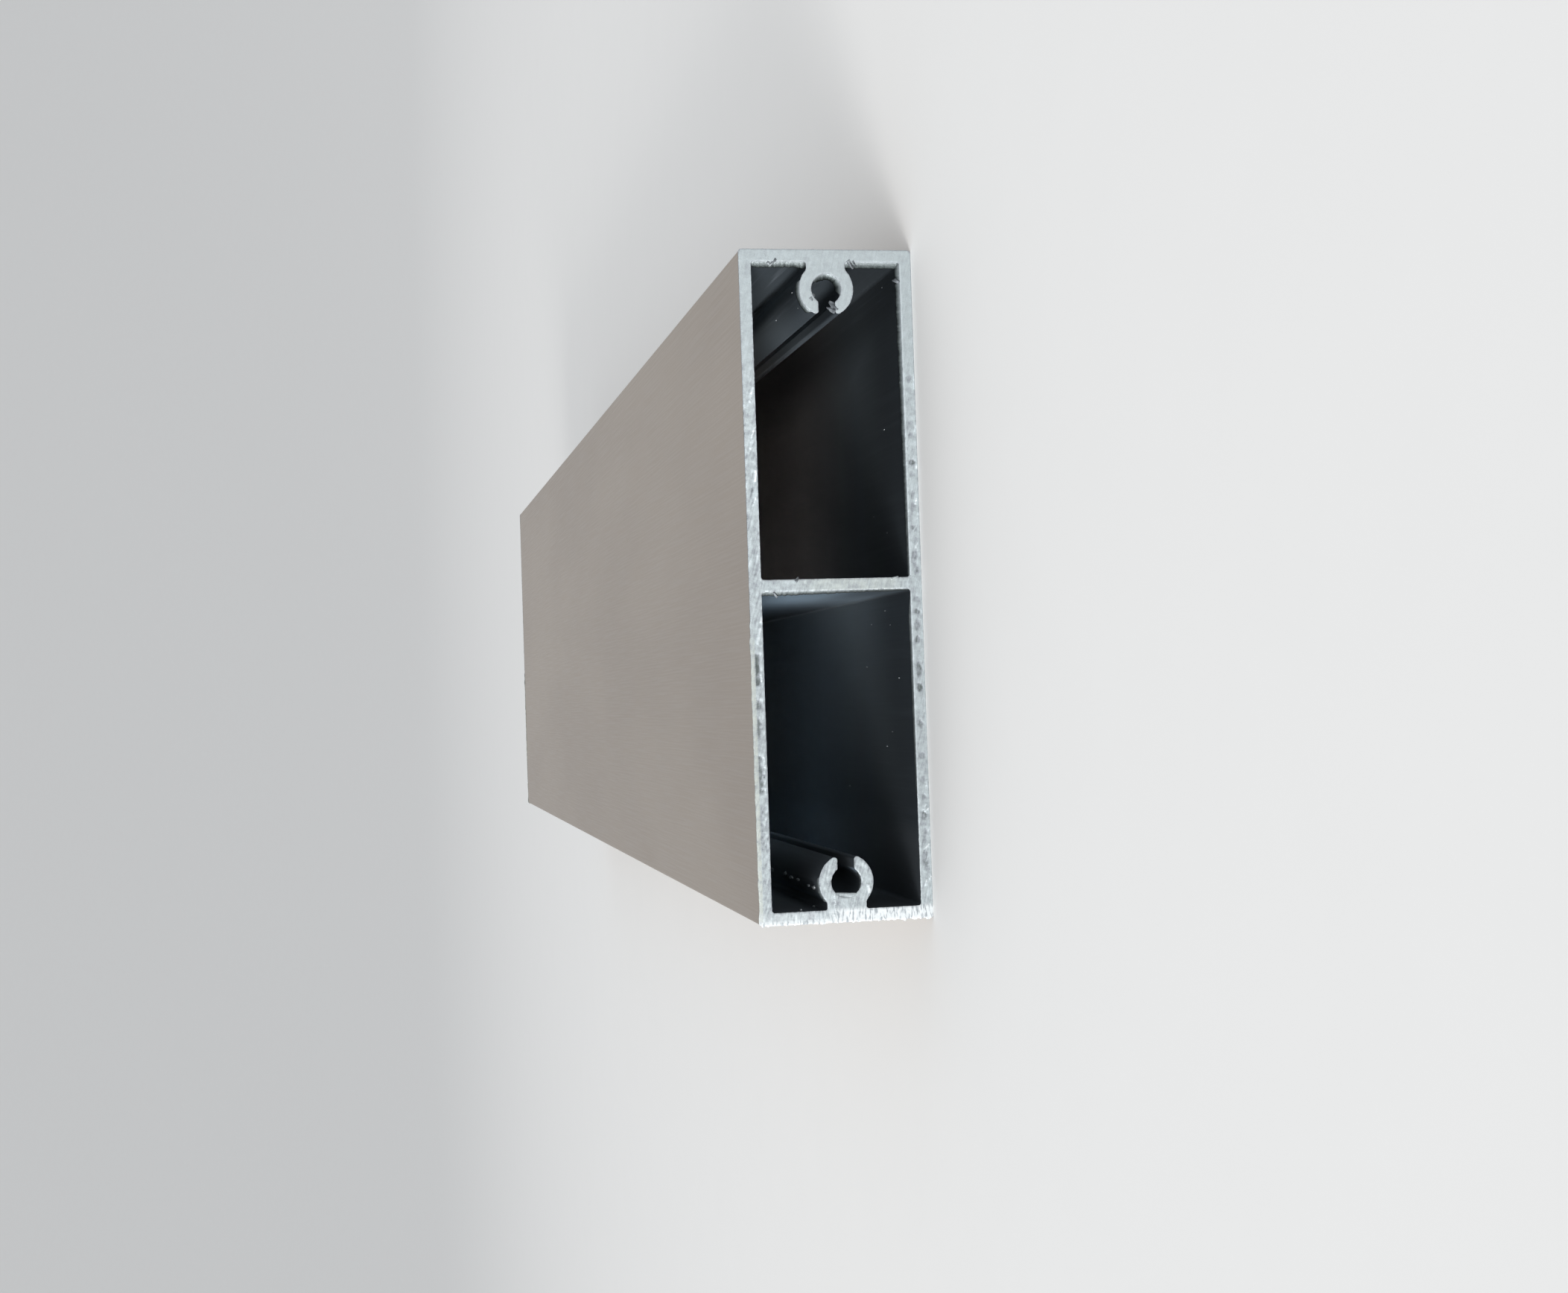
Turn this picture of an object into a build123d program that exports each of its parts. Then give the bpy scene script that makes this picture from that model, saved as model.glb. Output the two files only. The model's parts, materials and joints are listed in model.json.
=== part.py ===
"""A hollow rectangular aluminium profile with one web and a screw port in each short wall.

The piece is one extrusion. It lies on a wide face: its width runs along X, its length
along Y and its height along Z. The origin is at the centre of its footprint, on the floor.
"""

import os

from build123d import *

# Outside of the section, and the length that was sawn off
profile_width = 95.0
profile_height = 25.0
profile_length = 400.0
outer_corner_radius = 0.5

# Walls: the two wide faces, the two short sides and the web between them
wide_wall = 1.7
short_wall = 1.7
web_thickness = 1.6
chamber_corner_radius = 0.5

# Screw ports: open rings that stand on the short walls, with their slots towards the web
port_bore_diameter = 4.4
port_ring_wall = 1.7
port_slot_width = 2.5
port_tip_radius = 0.4
port_neck_width = 5.6
port_foot_radius = 0.4
port_shoulder_radius = 0.8

# Chambers, one each side of the web
chamber_width = (profile_width - 2 * short_wall - web_thickness) / 2
chamber_height = profile_height - 2 * wide_wall
chamber_pitch = chamber_width + web_thickness

# Each ring just touches the inside of its short wall, and the neck fills the corner between them
wall_face = profile_width / 2 - short_wall
port_bore_radius = port_bore_diameter / 2
port_outer_radius = port_bore_radius + port_ring_wall
port_offset = wall_face - port_outer_radius

# Two places closer than this are the same place
same_place = 0.001


def is_tip(vertex):
    """True for the four corners where the slot cuts through a ring."""
    return vertex.X < 0 and abs(vertex.Y) < port_slot_width


def is_foot(vertex):
    """True where a neck meets the inside face of its short wall."""
    on_wall = abs(abs(vertex.X) - wall_face) < same_place
    return on_wall and abs(abs(vertex.Y) - port_neck_width / 2) < same_place


# One port, with its bore at the origin and its wall on the +X side
with BuildSketch() as port:
    Circle(port_outer_radius)
    Rectangle(
        port_outer_radius + short_wall / 2,
        port_neck_width,
        align=(Align.MIN, Align.CENTER),
    )
    shoulders = port.vertices().filter_by(
        lambda vertex: 0 < vertex.X < port_outer_radius - port_foot_radius
    )
    fillet(shoulders, port_shoulder_radius)
    Circle(port_bore_radius, mode=Mode.SUBTRACT)
    Rectangle(
        port_outer_radius,
        port_slot_width,
        align=(Align.MAX, Align.CENTER),
        mode=Mode.SUBTRACT,
    )
    fillet(port.vertices().filter_by(is_tip), port_tip_radius)

section_plane = Plane((0, 0, profile_height / 2), x_dir=(1, 0, 0), z_dir=(0, -1, 0))

with BuildPart() as hollow_profile:
    with BuildSketch(section_plane) as section:
        RectangleRounded(profile_width, profile_height, outer_corner_radius)
        with GridLocations(chamber_pitch, 0, 2, 1):
            RectangleRounded(
                chamber_width,
                chamber_height,
                chamber_corner_radius,
                mode=Mode.SUBTRACT,
            )
        with PolarLocations(port_offset, 2):
            add(port.sketch)
        fillet(section.vertices().filter_by(is_foot), port_foot_radius)
    extrude(amount=profile_length / 2, both=True)

os.makedirs("parts", exist_ok=True)
hollow_profile.part.label = "hollow_profile"
export_step(hollow_profile.part, "parts/hollow_profile.step")
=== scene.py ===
"""The look of a hollow aluminium profile, which is sawn to length and lies on a pale floor.

Places on the section are worked out in millimetres as (x, z), and turn into metres when a
mesh is made. A level is how far a point stands out from the plane of its cut, in millimetres.
Angles round a screw port are in degrees and run as the camera sees them: 0 is towards the
floor, which is the camera's right, and 90 is towards plus X, which is its top.
"""

import json
import math

import bmesh
import bpy
import numpy as np
from mathutils import Matrix, Vector, kdtree, noise
from mathutils.geometry import delaunay_2d_cdt


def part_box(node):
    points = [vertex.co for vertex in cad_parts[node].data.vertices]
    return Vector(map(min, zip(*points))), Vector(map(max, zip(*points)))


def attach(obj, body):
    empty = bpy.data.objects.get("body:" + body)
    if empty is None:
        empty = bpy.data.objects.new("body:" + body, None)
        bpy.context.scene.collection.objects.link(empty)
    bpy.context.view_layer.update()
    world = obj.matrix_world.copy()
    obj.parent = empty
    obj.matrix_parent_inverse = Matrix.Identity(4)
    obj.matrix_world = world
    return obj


MM = 0.001
SAME_PLACE = 0.002

# The seed of the noise vectors, so that every run makes the same shapes
NOISE_SEED = 6
noise.seed_set(NOISE_SEED)

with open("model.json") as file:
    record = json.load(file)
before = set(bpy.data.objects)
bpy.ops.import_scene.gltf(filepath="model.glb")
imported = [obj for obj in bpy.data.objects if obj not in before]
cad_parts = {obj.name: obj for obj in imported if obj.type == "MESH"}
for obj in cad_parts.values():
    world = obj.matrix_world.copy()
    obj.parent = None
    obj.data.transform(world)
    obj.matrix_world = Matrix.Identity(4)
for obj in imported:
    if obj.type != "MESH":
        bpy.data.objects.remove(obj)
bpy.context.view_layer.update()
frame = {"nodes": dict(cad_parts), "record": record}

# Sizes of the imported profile
profile = frame["nodes"]["hollow_profile"]
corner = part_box("hollow_profile")[1] / MM
half_width = corner.x
half_length = corner.y
height = corner.z
middle = height / 2

# Screw ports, from the record
mounts = {mount["name"]: mount for mount in frame["record"]["mounts"]}
port_x = mounts["screw_port_plus_x"]["pos_m"][0] / MM
bore_radius = mounts["screw_port_plus_x"]["dims"]["r_mm"]

# The camera of the photograph: it looks along the profile and down on it, turned on its side
CAMERA_PLACE = Vector((-15.72, -485.24, 79.13)) * MM
CAMERA_FORWARD = Vector((0.02458, 0.97909, -0.20192))
CAMERA_UP = Vector((0.99914, -0.03079, -0.02768))
CAMERA_LENS_MM = 47.68
SENSOR_WIDTH_MM = 36.0
CLIP_START = 0.01
CLIP_END = 50.0

# Stage, in metres: a flat round floor whose rim curves upwards
FLOOR_RINGS = (0.3, 1.0, 2.0)
FLOOR_RADIUS = 2.1
CURVE_RADIUS = 5.0
CURVE_DEGREES = 45
CURVE_STEPS = 16
FLOOR_SPOKES = 96
STAGE_COLOUR = (0.80, 0.79, 0.77, 1.0)

# Lamps, each as (name, place, aim, size, power, spread in degrees), and the world behind them
LAMPS = (
    ("overhead", (-0.3, -0.5, 1.9), (0, 0, 0), (1.4, 1.4), 4.0, 180.0),
    ("side", (-1.9, -1.97, 0.42), (0, -0.2, 0), (1.4, 0.6), 5.2, 40.0),
    ("mouth", (-0.95, -1.7, 0.45), (0, -0.2, 0), (1.0, 0.8), 1.2, 60.0),
)
WORLD_COLOUR = (0.93, 0.96, 1.0, 1.0)
WORLD_STRENGTH = 0.75

# The way along Y that each cut faces
NEAR = -1
FAR = 1

# Saw cuts: the direction of the blade's strokes on the section, and the levels of the relief
STROKE_ALONG = Vector((0.966, -0.26))
STROKE_ACROSS = Vector((0.26, 0.966))
FACE_LEVEL = 0.08
EDGE_LEVEL = 0.05
LOWEST_LEVEL = 0.012
SKIN_SINK = 0.1
SHARP_DEGREES = 40
NEAR_STEP = 0.14
FAR_STEP = 0.3

# How high or deep the marks of the saw are
STROKE_HEIGHT = 0.014
COARSE_MOTTLE = 0.012
FINE_MOTTLE = 0.010
CHIP_HEIGHT = 0.045
DUG_DEPTH = 0.062
CHATTER_DEPTH_MINUS_X = 0.046
CHATTER_DEPTH_PLUS_X = 0.038
RIDGE_HEIGHT = 0.042
END_WALL_HEIGHT = 0.02


class Tree:
    """A material's node tree, with short calls to add nodes and link them."""

    def __init__(self, name):
        self.material = bpy.data.materials.new(name)
        self.material.use_nodes = True
        self.tree = self.material.node_tree
        self.shader = self.tree.nodes["Principled BSDF"]

    def node(self, kind, inputs=None, **settings):
        """Adds a node with its settings, and feeds its inputs."""
        made = self.tree.nodes.new(kind)
        for key, value in settings.items():
            setattr(made, key, value)
        for key, value in (inputs or {}).items():
            self.feed(made.inputs[key], value)
        return made

    def feed(self, socket, value):
        """Links another node's output to a socket, or gives the socket a plain value."""
        if isinstance(value, bpy.types.NodeSocket):
            self.tree.links.new(value, socket)
        else:
            socket.default_value = value

    def set(self, **sockets):
        """Feeds the shader's own sockets, with _ for each space in their names."""
        for key, value in sockets.items():
            self.feed(self.shader.inputs[key.replace("_", " ")], value)

    def where(self):
        """The place on the object, in metres."""
        return self.node("ShaderNodeTexCoord").outputs["Object"]

    def split(self, place):
        """The X, Y and Z of a place."""
        parts = self.node("ShaderNodeSeparateXYZ", {0: place}).outputs
        return parts["X"], parts["Y"], parts["Z"]

    def math(self, operation, first, second=0.0):
        made = self.node("ShaderNodeMath", {0: first, 1: second}, operation=operation)
        return made.outputs[0]

    def times(self, first, *others):
        """All of the values multiplied."""
        for other in others:
            first = self.math("MULTIPLY", first, other)
        return first

    def plus(self, first, second):
        return self.math("ADD", first, second)

    def minus(self, first, second):
        return self.math("SUBTRACT", first, second)

    def below(self, value, limit):
        """1 where a value in metres is below a limit in mm, and 0 elsewhere."""
        return self.math("LESS_THAN", value, limit * MM)

    def above(self, value, limit):
        """1 where a value in metres is above a limit in mm, and 0 elsewhere."""
        return self.math("GREATER_THAN", value, limit * MM)

    def mix(self, share, first, second):
        """Two colours mixed: the node takes them at its inputs 6 and 7, and gives output 2."""
        made = self.node("ShaderNodeMix", data_type="RGBA")
        self.feed(made.inputs[0], share)
        self.feed(made.inputs[6], first)
        self.feed(made.inputs[7], second)
        return made.outputs[2]

    def between(self, value, start, end, low_value=0.0, high_value=1.0):
        """value from start to end, turned smoothly into low_value to high_value."""
        made = self.node(
            "ShaderNodeMapRange",
            {"Value": value, "From Min": start, "From Max": end},
            interpolation_type="SMOOTHSTEP",
        )
        made.inputs["To Min"].default_value = low_value
        made.inputs["To Max"].default_value = high_value
        return made.outputs["Result"]

    def between_mm(self, value, start, end, low_value=0.0, high_value=1.0):
        """The same for a value in metres, with start and end in mm."""
        return self.between(value, start * MM, end * MM, low_value, high_value)

    def noise(self, place, scale, detail=2.0, roughness=0.5):
        """Noise from 0 to 1, with about as many features to a metre as scale says."""
        made = self.node(
            "ShaderNodeTexNoise",
            {"Vector": place, "Scale": scale, "Detail": detail, "Roughness": roughness},
        )
        return made.outputs["Fac"]

    def along(self, place, way):
        """How far a place lies along a direction."""
        made = self.node("ShaderNodeVectorMath", {0: place, 1: way}, operation="DOT_PRODUCT")
        return made.outputs["Value"]

    def joined(self, x, y, z):
        """A place from its X, Y and Z."""
        return self.node("ShaderNodeCombineXYZ", {"X": x, "Y": y, "Z": z}).outputs["Vector"]

    def ramp(self, value, stops):
        """A colour for value, which runs from 0 to 1, from stops of (place, colour)."""
        made = self.node("ShaderNodeValToRGB", {"Fac": value})
        elements = made.color_ramp.elements
        while len(elements) < len(stops):
            elements.new(0.5)
        for element, (place, colour) in zip(elements, stops):
            element.position = place
            element.color = (*colour, 1.0)
        return made.outputs["Color"]

    def bump(self, height_value, distance, strength=1.0):
        """The normal of a surface that a height from 0 to 1 lifts by up to a distance."""
        made = self.node("ShaderNodeBump", {"Height": height_value})
        made.inputs["Distance"].default_value = distance
        made.inputs["Strength"].default_value = strength
        return made.outputs["Normal"]


# Colours of the profile: the anodised skin, whose warm tint is partly a painted reflection, and the
# inside, in painted shade at the mouths and painted light further in
SKIN_DARK = (0.362, 0.303, 0.250, 1.0)
SKIN_PALE = (0.399, 0.338, 0.279, 1.0)
SKIN_LINE = (0.46, 0.42, 0.37, 1.0)
MOUTH_SHADE = (0.052, 0.064, 0.075, 1.0)
INSIDE_GREY = (0.22, 0.255, 0.28, 1.0)
FAR_IN_LIGHT_MINUS_X = (0.60, 0.68, 0.74, 1.0)
FAR_IN_LIGHT_PLUS_X = (0.96, 0.91, 0.90, 1.0)
FACING_SHADE = (0.085, 0.105, 0.122, 1.0)
WEB_LIGHT_AT_MOUTH = (0.20, 0.275, 0.345, 1.0)
WEB_LIGHT_FURTHER_IN = (0.40, 0.54, 0.68, 1.0)
FLOOR_SIDE_SHADE = (0.025, 0.03, 0.034, 1.0)
MINUS_PORT_SHADE = (0.02, 0.024, 0.028, 1.0)
PALE_STREAK = (0.30, 0.34, 0.38, 1.0)

# How much of its length a pattern keeps along Y, so that it is drawn out along the profile
DIE_LINE_STRETCH = 0.012
CLOUD_STRETCH = 0.35
STREAK_STRETCH = 0.03


def inside_share(tree, x, z):
    """1 on the faces of the chambers and ports, and 0 on the outside. They part in mid wall."""
    half_wall = (half_width - wall_face) / 2
    upward = tree.math("ABSOLUTE", tree.minus(z, middle * MM))
    inside_x = tree.below(tree.math("ABSOLUTE", x), half_width - half_wall)
    inside_z = tree.below(upward, middle - half_wall)
    return tree.times(inside_x, inside_z)


def skin_colour(tree, x, y, z, die_lines):
    """The anodised skin, its warm tint partly a painted reflection, with faint clouds along its
    length and slightly paler die lines.
    """
    cloud = tree.noise(tree.joined(x, tree.times(y, CLOUD_STRETCH), z), 30.0, detail=3.0)
    skin = tree.mix(tree.between(cloud, 0.3, 0.7), SKIN_DARK, SKIN_PALE)
    return tree.mix(tree.between(die_lines, 0.35, 0.75, 0.0, 0.07), skin, SKIN_LINE)


def hollow_colour(tree, x, y, z, depth, minus_port):
    """The inside, blue-grey: painted shade at the mouths, and painted light further in, where
    little light reaches.
    """
    hollow = tree.mix(tree.between_mm(depth, 0, 40), MOUTH_SHADE, INSIDE_GREY)
    far_in_light = tree.mix(tree.between_mm(x, -2, 2), FAR_IN_LIGHT_MINUS_X, FAR_IN_LIGHT_PLUS_X)
    hollow = tree.mix(tree.between_mm(depth, 30, 75), hollow, far_in_light)

    # Painted shade on the faces towards minus X, and painted light on the web's face there, pale
    # and blue
    normal = tree.node("ShaderNodeTexCoord").outputs["Normal"]
    facing = tree.along(normal, (-1.0, 0.0, 0.0))
    hollow = tree.mix(tree.between(facing, 0.3, 0.9, 0.0, 0.6), hollow, FACING_SHADE)
    web_light_share = tree.times(
        tree.between(facing, 0.3, 0.9),
        tree.below(x, 5),
        tree.between_mm(depth, 50, 140, 0.9, 0.0),
        tree.between_mm(z, 2, 17, 0.25, 1.0),
    )
    web = tree.mix(tree.between_mm(depth, 0, 50), WEB_LIGHT_AT_MOUTH, WEB_LIGHT_FURTHER_IN)
    hollow = tree.mix(web_light_share, hollow, web)

    # Painted shade on the lower half beside the mouths, and further in than that near plus X
    low = tree.between_mm(z, 6, 11, 1.0, 0.0)
    shade_at_mouth = tree.times(
        low,
        tree.between_mm(x, 5, 25, 0.5, 0.6),
        tree.between_mm(depth, 8, 40, 1.0, 0.0),
    )
    shade_in_corner = tree.times(
        low,
        tree.between_mm(x, 30, 42, 0.0, 0.7),
        tree.between_mm(depth, 60, 150, 1.0, 0.0),
    )
    hollow = tree.mix(tree.math("MAXIMUM", shade_at_mouth, shade_in_corner), hollow, FLOOR_SIDE_SHADE)

    # Pale streaks along the length, most of them beside the port at plus X
    streaks = tree.noise(tree.joined(x, tree.times(y, STREAK_STRETCH), z), 900.0, detail=3.0)
    pale_streaks = tree.times(
        tree.between_mm(x, 36, 44, 0.12, 0.5),
        tree.between_mm(z, 7, 12, 0.3, 1.0),
        tree.between(streaks, 0.52, 0.75),
    )
    hollow = tree.mix(pale_streaks, hollow, PALE_STREAK)

    # The port at minus X is shaded from its mouth inwards
    shaded = tree.times(minus_port, tree.between_mm(depth, 5, 60, 0.4, 0.0))
    return tree.mix(shaded, hollow, MINUS_PORT_SHADE)


def profile_material():
    """Satin anodised outside, with fine die lines along the length, and dull inside, coloured in
    painted shade and painted light.
    """
    tree = Tree("anodised_profile")
    x, y, z = tree.split(tree.where())
    inside = inside_share(tree, x, z)
    depth = tree.minus(half_length * MM, tree.math("ABSOLUTE", y))
    minus_port = tree.times(tree.between_mm(x, -37, -33, 1.0, 0.0), inside)
    die_lines = tree.noise(tree.joined(x, tree.times(y, DIE_LINE_STRETCH), z), 3400.0, detail=4.0)

    skin = skin_colour(tree, x, y, z, die_lines)
    hollow = hollow_colour(tree, x, y, z, depth, minus_port)
    tree.set(Base_Color=tree.mix(inside, skin, hollow))
    bare = tree.minus(1.0, tree.times(inside, 0.5))
    tree.set(Metallic=tree.minus(bare, tree.times(minus_port, 0.35)))
    lines = tree.times(tree.minus(die_lines, 0.5), tree.minus(1.0, tree.times(inside, 0.75)))
    satin = tree.between(lines, -0.2, 0.2, 0.34, 0.44)
    dull = tree.plus(tree.times(inside, 0.16), tree.times(minus_port, 0.2))
    tree.set(Roughness=tree.plus(satin, dull))
    tree.set(Normal=tree.bump(lines, 0.008 * MM, 0.12))
    return tree.material


# Colours of the sawn metal, as stops of (level, colour), on the face and on the bent burrs: painted
# shade where the level is low and painted highlights where it is high
FACE_COLOURS = (
    (0.00, (0.09, 0.105, 0.10)),
    (0.03, (0.20, 0.225, 0.225)),
    (0.055, (0.37, 0.395, 0.425)),
    (0.08, (0.495, 0.545, 0.56)),
    (0.115, (0.64, 0.70, 0.725)),
    (0.15, (1.0, 1.0, 1.0)),
)
BURR_COLOURS = (
    (-0.55, (0.014, 0.017, 0.017)),
    (-0.38, (0.042, 0.050, 0.050)),
    (-0.24, (0.095, 0.11, 0.112)),
    (-0.10, (0.19, 0.213, 0.218)),
    (0.00, (0.26, 0.288, 0.297)),
    (0.05, (0.40, 0.44, 0.455)),
)
SAWN_DARKER = (0.17, 0.187, 0.193, 1.0)
SAWN_YELLOW = (0.50, 0.52, 0.46, 1.0)
# Colours of the painted glare on the short wall at minus X, with its tick marks
GLARE_TICK_DARK = (0.36, 0.39, 0.41, 1.0)
GLARE_TICK_BRIGHT = (0.68, 0.71, 0.72, 1.0)


def blade_strokes(tree, where):
    """The blade's strokes, finer than the mesh can carry."""
    along = tree.along(where, (STROKE_ALONG.x, 0.0, STROKE_ALONG.y))
    across = tree.along(where, (STROKE_ACROSS.x, 0.0, STROKE_ACROSS.y))
    drawn_out = tree.joined(tree.times(along, 0.12), 0.0, across)
    return tree.noise(drawn_out, 4200.0, detail=3.0, roughness=0.6)


def edge_highlights(tree, x, z, mottle):
    """Painted highlights along three edges of the wide walls, as an addition to the level."""
    across = tree.math("ABSOLUTE", x)
    inside_floor = tree.times(
        tree.between_mm(z, floor_face - 0.20, floor_face - 0.12, 0.0, 0.02 * MM),
        tree.below(z, floor_face),
        tree.below(across, wall_face - 0.3),
        tree.above(across, web_face + 0.3),
    )
    at_floor = tree.times(
        tree.between_mm(z, 0.15, 0.28, 0.022 * MM, 0.0),
        tree.between_mm(x, -5, 5, 1.0, 0.2),
    )
    inside_roof = tree.times(
        tree.between_mm(z, roof_face + 0.08, roof_face + 0.16, 0.03 * MM, 0.0),
        tree.above(z, roof_face),
        tree.between_mm(x, -15, 0),
        tree.below(x, wall_face - 0.5),
        tree.between(mottle, 0.42, 0.58),
    )
    return tree.math("MAXIMUM", tree.math("MAXIMUM", inside_floor, at_floor), inside_roof)


def yellow_share(tree, x, z, mottle):
    """The web and the outer band of the wide wall at the top are a little yellow."""
    web = tree.times(
        tree.below(tree.math("ABSOLUTE", x), web_face),
        tree.between_mm(z, 2, 5),
        tree.between_mm(z, 14, 20, 0.6, 0.0),
    )
    band = tree.times(tree.above(z, DUG_TOP + 0.05), tree.between_mm(x, -10, -5, 1.0, 0.0))
    return tree.times(tree.math("MAXIMUM", web, band), tree.between(mottle, 0.3, 0.7, 0.15, 0.6))


def glare_share(tree, x, z, level):
    """A painted glare on the short wall at minus X, strongest near the floor and on its rim."""
    rim = tree.between_mm(x, -(half_width - 0.35), -(half_width - 0.9), 0.8, 0.0)
    near_floor = tree.between_mm(z, 12.5, 16, 1.0, 0.3)
    return tree.times(
        tree.between_mm(x, -(wall_face + 0.3), -(wall_face - 0.5), 1.0, 0.0),
        tree.math("MAXIMUM", near_floor, rim),
        tree.between_mm(level, 0.0, 0.05),
    )


def sawn_material(name, colours, uneven_face, uneven_end):
    """Bare sawn metal: its colour follows the level, with painted shade in grooves and painted
    highlights on crests.

    Noise is added to the level that the colours follow. uneven_face is how much, in mm, over
    most of the cut, and uneven_end how much at its plus X end. The minus X end has a little more.
    """
    tree = Tree(name)
    where = tree.where()
    x, y, z = tree.split(where)
    level = tree.minus(tree.math("ABSOLUTE", y), half_length * MM)
    strokes = blade_strokes(tree, where)
    mottle = tree.noise(where, 1100.0, detail=4.0, roughness=0.6)
    grit = tree.noise(where, 6000.0, detail=2.0)

    uneven = tree.plus(tree.minus(strokes, 0.5), tree.minus(mottle, 0.5))
    lively = tree.between_mm(x, 20, 40, uneven_face * MM, uneven_end * MM)
    lively = tree.plus(lively, tree.between_mm(x, -38, -28, 0.4 * uneven_face * MM, 0.0))
    shaken = tree.plus(level, tree.times(uneven, lively))
    shaken = tree.plus(shaken, edge_highlights(tree, x, z, mottle))

    lowest = colours[0][0]
    span = colours[-1][0] - lowest
    share = tree.math("DIVIDE", tree.minus(shaken, lowest * MM), span * MM)
    metal = tree.ramp(share, [((place - lowest) / span, colour) for place, colour in colours])
    # The cut is a little darker towards minus X
    metal = tree.mix(tree.between_mm(x, -30, 25, 0.27, 0.0), metal, SAWN_DARKER)
    metal = tree.mix(yellow_share(tree, x, z, mottle), metal, SAWN_YELLOW)
    # Tick marks across the short wall at minus X, in the pale colours of its painted glare
    ticks = tree.noise(tree.joined(tree.times(x, 0.22), 0.0, z), 3300.0, detail=2.0)
    glare_ticks = tree.mix(tree.between(ticks, 0.36, 0.52, 0.0, 1.0), GLARE_TICK_DARK, GLARE_TICK_BRIGHT)
    metal = tree.mix(glare_share(tree, x, z, level), metal, glare_ticks)

    tree.set(Base_Color=metal)
    tree.set(Metallic=1.0)
    tree.set(Roughness=tree.between(grit, 0.3, 0.7, 0.52, 0.72))
    tree.set(Normal=tree.bump(tree.plus(strokes, tree.times(grit, 0.4)), 0.02 * MM, 0.8))
    return tree.material


# Colours of torn metal, as stops of (noise, colour)
TORN_COLOURS = (
    (0.35, (0.09, 0.10, 0.11)),
    (0.50, (0.17, 0.185, 0.20)),
    (0.62, (0.26, 0.285, 0.30)),
    (0.75, (0.50, 0.54, 0.56)),
)


def torn_material():
    """Torn metal on the cut: dull and grey, with a few bright folds."""
    tree = Tree("torn_metal")
    where = tree.where()
    folds = tree.noise(where, 900.0, detail=2.0)
    grit = tree.noise(where, 7000.0, detail=2.0)
    tree.set(Base_Color=tree.ramp(folds, TORN_COLOURS))
    tree.set(Metallic=0.7)
    tree.set(Roughness=tree.between(grit, 0.3, 0.7, 0.55, 0.75))
    tree.set(Normal=tree.bump(grit, 0.02 * MM))
    return tree.material


SWARF_GREY = (0.30, 0.32, 0.33, 1.0)
SWARF_PALE = (0.68, 0.71, 0.73, 1.0)


def swarf_material():
    """Loose crumbs of aluminium: pale, dull and uneven."""
    tree = Tree("loose_swarf")
    where = tree.where()
    grain = tree.noise(where, 4000.0, detail=3.0)
    tree.set(Base_Color=tree.mix(tree.between(grain, 0.3, 0.7), SWARF_GREY, SWARF_PALE))
    tree.set(Metallic=0.7)
    tree.set(Roughness=tree.between(grain, 0.3, 0.7, 0.6, 0.4))
    tree.set(Normal=tree.bump(grain, 0.03 * MM))
    return tree.material


def dress_profile():
    """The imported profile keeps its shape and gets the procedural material."""
    slot = profile.material_slots[0]
    slot.link = "OBJECT"
    slot.material = profile_material()


def cut_outlines():
    """The closed outlines of the near cut, the outer one first, with the metal on their left."""
    vertices = profile.data.vertices
    after = {}
    edges = set()
    for polygon in profile.data.polygons:
        places = [vertices[index].co / MM for index in polygon.vertices]
        if all(abs(place.y + half_length) < SAME_PLACE for place in places):
            keys = [(round(place.x, 3), round(place.z, 3)) for place in places]
            edges.update(zip(keys, keys[1:] + keys[:1]))
    for start, end in edges:
        if (end, start) not in edges and start != end:
            after[start] = end
    outlines = []
    while after:
        start, place = after.popitem()
        outline = [start]
        while place != start:
            outline.append(place)
            place = after.pop(place)
        outlines.append([Vector(place) for place in outline])
    outlines.sort(key=lambda outline: -max(place.x for place in outline))
    outlines.sort(key=lambda outline: min(place.y for place in outline))
    return outlines


def fine_outline(outline, step):
    """The outline with more points, so that none are further apart than step."""
    fine = []
    for here, after in zip(outline, outline[1:] + outline[:1]):
        count = max(1, math.ceil((after - here).length / step))
        fine += [here.lerp(after, index / count) for index in range(count)]
    return fine


def outward_ways(points):
    """At each point of a closed outline, the direction that leaves the metal."""
    ways = []
    for before, after in zip(points[-1:] + points[:-1], points[1:] + points[:1]):
        way = after - before
        ways.append(Vector((way.y, -way.x)).normalized())
    return ways


def wander(x, z, across, seed, along=None):
    """Noise from -1 to 1 on the section, with features across mm wide and along mm long."""
    place = Vector((x, z))
    run = place.dot(STROKE_ALONG) / (along or across)
    side = place.dot(STROKE_ACROSS) / across
    return noise.noise(Vector((run, seed, side)))


def smooth_step(value, start, end):
    """0 up to start and 1 from end on, with a smooth rise between them."""
    share = min(1.0, max(0.0, (value - start) / (end - start)))
    return share * share * (3 - 2 * share)


def within(value, start, end, blur):
    """1 from start to end and 0 away from them, with soft ends."""
    rise = smooth_step(value, start - blur, start + blur)
    return rise * (1 - smooth_step(value, end - blur, end + blur))


# Where the blade dug in along the wide wall at the top, as (start in x, end in x, depth)
DUG_STRETCHES = (
    (-14.0, -9.5, 1.0),
    (-17.3, -15.9, 0.8),
    (-21.5, -18.4, 0.9),
    (-29.2, -23.8, 1.0),
    (-37.0, -31.0, 0.45),
)
DUG_TOP = 24.47
DUG_FOOT = 23.75

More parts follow.
